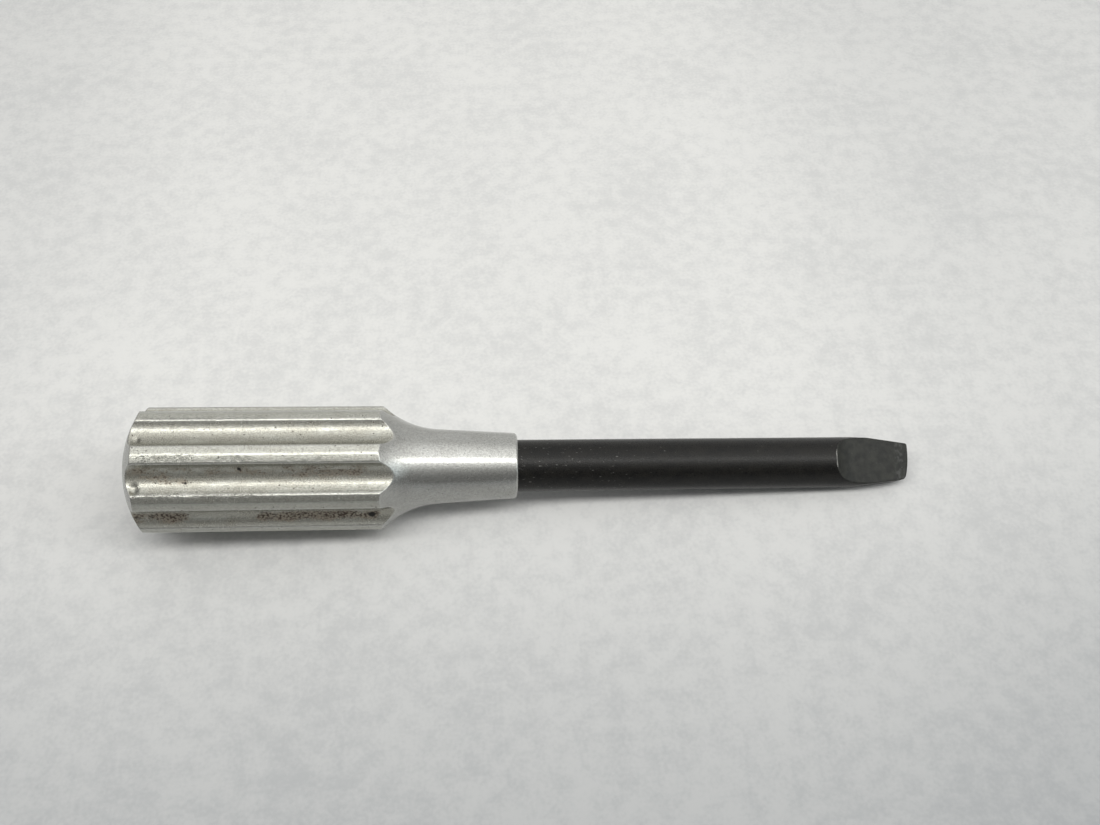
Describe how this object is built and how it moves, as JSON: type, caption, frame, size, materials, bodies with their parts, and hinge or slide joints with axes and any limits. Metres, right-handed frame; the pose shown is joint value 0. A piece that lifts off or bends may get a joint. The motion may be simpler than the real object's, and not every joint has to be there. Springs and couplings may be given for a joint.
{
  "type": "slotted screwdriver",
  "caption": "Short flat-blade screwdriver with a fluted aluminium handle, a flared neck and a round black steel shank ground to a slotted tip.",
  "frame": {"origin": "centre of the blade's tip end face", "axes": "+X along the tool from handle to tip, +Z through the middle of one flute of the grip; the blade's flat faces are rolled 27 degrees about X from there, from +Z towards -Y"},
  "size_m": [0.1203, 0.018, 0.018],
  "materials": {
    "handle_aluminium": "satin drawn and turned, worn, with small nicks and brown stains in the flutes",
    "blade_black_steel": "black oxide, satin, lightly scratched"
  },
  "bodies": {
    "root": {"handle": "handle_aluminium", "blade": "blade_black_steel"}
  },
  "joints": []
}
